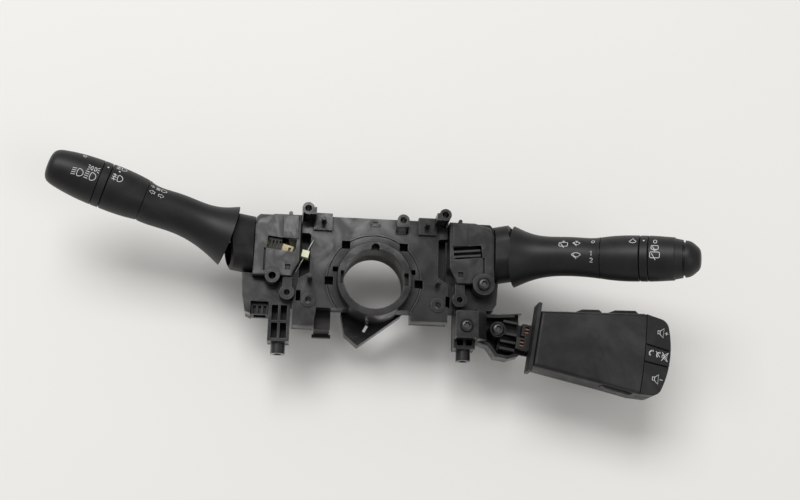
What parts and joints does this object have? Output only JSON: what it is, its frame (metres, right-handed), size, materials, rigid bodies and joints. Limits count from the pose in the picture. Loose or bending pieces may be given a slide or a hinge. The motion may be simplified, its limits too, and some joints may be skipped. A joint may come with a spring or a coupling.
{
  "type": "combination stalk switch",
  "caption": "Column-mounted combination switch: light and wiper stalks on a moulded carrier with a round column collar, and a finger-tip audio satellite below the wiper stalk.",
  "frame": {"origin": "on the column bore's axis, at the collar's rear face", "axes": "+X to the driver's right, +Y up the face of the switch, +Z towards the driver along the column bore"},
  "size_m": [0.4144, 0.1388, 0.1035],
  "materials": {
    "black_plastic": "fine-grained moulded black",
    "carrier_plastic": "glass-filled moulding with a soft sheen",
    "grip_plastic": "satin soft-grain grip",
    "key_plastic": "satin key",
    "cream_plastic": "natural acetal",
    "white_nylon": "natural nylon",
    "board_green": "lacquered board",
    "steel": "spring steel",
    "dark_steel": "blackened screw steel",
    "white_print": "pad-printed white",
    "copper": "tinned copper alloy"
  },
  "bodies": {
    "carrier": {"carrier_frame": "carrier_plastic", "column_guide": "black_plastic", "harness_socket": "black_plastic", "light_case": "black_plastic", "light_cover": "black_plastic", "light_neck": "black_plastic", "light_board": "board_green", "light_plug_socket": "black_plastic", "light_terminals": "copper", "light_detent_cam": "white_nylon", "light_contacts": "black_plastic", "wiper_case": "black_plastic", "wiper_cover": "black_plastic", "wiper_neck": "black_plastic", "wiper_board": "board_green", "wiper_plug_socket": "black_plastic", "wiper_terminals": "copper", "wiper_detent_cam": "white_nylon", "wiper_contacts": "steel", "cancel_wire": "steel", "satellite_front": "grip_plastic", "satellite_rear": "grip_plastic", "satellite_board": "board_green", "satellite_plug": "black_plastic", "satellite_terminals": "copper", "satellite_bracket": "black_plastic", "wheel_axle": "steel", "screws": "dark_steel"},
    "light_cradle": {"light_cradle": "cream_plastic"},
    "light_lever": {"light_lever": "black_plastic", "light_detent_plunger": "white_nylon", "light_detent_spring": "steel", "light_sleeve": "grip_plastic", "light_band": "grip_plastic"},
    "fog_ring": {"fog_ring": "grip_plastic"},
    "light_knob": {"light_knob": "grip_plastic"},
    "wiper_cradle": {"wiper_cradle": "black_plastic"},
    "wiper_lever": {"wiper_lever": "black_plastic", "wiper_detent_plunger": "white_nylon", "wiper_detent_spring": "steel", "wiper_sleeve": "grip_plastic", "wiper_band": "grip_plastic"},
    "sensor_ring": {"sensor_ring": "grip_plastic"},
    "rear_wiper_knob": {"rear_wiper_knob": "grip_plastic"},
    "trip_button": {"trip_button": "grip_plastic"},
    "cancel_pawl": {"cancel_pawl": "white_nylon"},
    "volume_up_key": {"volume_up_key": "key_plastic"},
    "call_key": {"call_key": "key_plastic"},
    "volume_down_key": {"volume_down_key": "key_plastic"},
    "source_button": {"source_button": "key_plastic"},
    "list_button": {"list_button": "key_plastic"},
    "mode_button": {"mode_button": "key_plastic"},
    "scroll_wheel": {"scroll_wheel": "key_plastic"}
  },
  "joints": [
    {"name": "light_up_down", "type": "hinge", "parent": "carrier", "child": "light_cradle", "pos_m": [-0.0724, 0.0218, 0.016], "axis": [0, 0, 1], "range_deg": [0, 19.6]},
    {"name": "light_pull", "type": "hinge", "parent": "light_cradle", "child": "light_lever", "pos_m": [-0.0724, 0.0218, 0.016], "axis": [0.2748, 0.9615, 0], "range_deg": [0, 7], "stiffness_Nm_per_rad": 2, "springref_deg": -6.88},
    {"name": "fog_ring_turn", "type": "hinge", "parent": "light_lever", "child": "fog_ring", "pos_m": [-0.0724, 0.0218, 0.016], "axis": [-0.9387, 0.2683, 0.2164], "range_deg": [-28, 28]},
    {"name": "light_knob_turn", "type": "hinge", "parent": "light_lever", "child": "light_knob", "pos_m": [-0.0724, 0.0218, 0.016], "axis": [-0.9387, 0.2683, 0.2164], "range_deg": [0, 66]},
    {"name": "wiper_up_down", "type": "hinge", "parent": "carrier", "child": "wiper_cradle", "pos_m": [0.0724, 0.0218, 0.016], "axis": [0, 0, 1], "range_deg": [0, 19.6]},
    {"name": "wiper_pull", "type": "hinge", "parent": "wiper_cradle", "child": "wiper_lever", "pos_m": [0.0724, 0.0218, 0.016], "axis": [-0.0637, -0.998, 0], "range_deg": [0, 7], "stiffness_Nm_per_rad": 2, "springref_deg": -6.88},
    {"name": "sensor_ring_turn", "type": "hinge", "parent": "wiper_lever", "child": "sensor_ring", "pos_m": [0.0724, 0.0218, 0.016], "axis": [0.9285, -0.0592, 0.3665], "range_deg": [-28, 28]},
    {"name": "rear_wiper_turn", "type": "hinge", "parent": "wiper_lever", "child": "rear_wiper_knob", "pos_m": [0.0724, 0.0218, 0.016], "axis": [0.9285, -0.0592, 0.3665], "range_deg": [0, 50]},
    {"name": "trip_press", "type": "slide", "parent": "rear_wiper_knob", "child": "trip_button", "axis": [-0.9285, 0.0592, -0.3665], "range_m": [0, 0.0012], "stiffness_N_per_m": 2500, "springref_m": -0.0006},
    {"name": "cancel_swing", "type": "hinge", "parent": "carrier", "child": "cancel_pawl", "pos_m": [-0.0449, 0.0152, 0.0223], "axis": [0, 0, 1], "range_deg": [-8, 8], "stiffness_Nm_per_rad": 0.02},
    {"name": "volume_up_press", "type": "slide", "parent": "carrier", "child": "volume_up_key", "axis": [0, 0, -1], "range_m": [0, 0.0008], "stiffness_N_per_m": 2500, "springref_m": -0.0006},
    {"name": "call_press", "type": "slide", "parent": "carrier", "child": "call_key", "axis": [0, 0, -1], "range_m": [0, 0.0008], "stiffness_N_per_m": 2500, "springref_m": -0.0006},
    {"name": "volume_down_press", "type": "slide", "parent": "carrier", "child": "volume_down_key", "axis": [0, 0, -1], "range_m": [0, 0.0008], "stiffness_N_per_m": 2500, "springref_m": -0.0006},
    {"name": "source_press", "type": "slide", "parent": "carrier", "child": "source_button", "axis": [-0.1582, -0.9874, 0], "range_m": [0, 0.0008], "stiffness_N_per_m": 2500, "springref_m": -0.0006},
    {"name": "list_press", "type": "slide", "parent": "carrier", "child": "list_button", "axis": [-0.1582, -0.9874, 0], "range_m": [0, 0.0008], "stiffness_N_per_m": 2500, "springref_m": -0.0006},
    {"name": "mode_press", "type": "slide", "parent": "carrier", "child": "mode_button", "axis": [0.1582, 0.9874, 0], "range_m": [0, 0.0008], "stiffness_N_per_m": 2500, "springref_m": -0.0006},
    {"name": "scroll_turn", "type": "hinge", "parent": "carrier", "child": "scroll_wheel", "pos_m": [0.14845, -0.04066, 0.018], "axis": [0.1582, 0.9874, 0], "continuous": true}
  ]
}
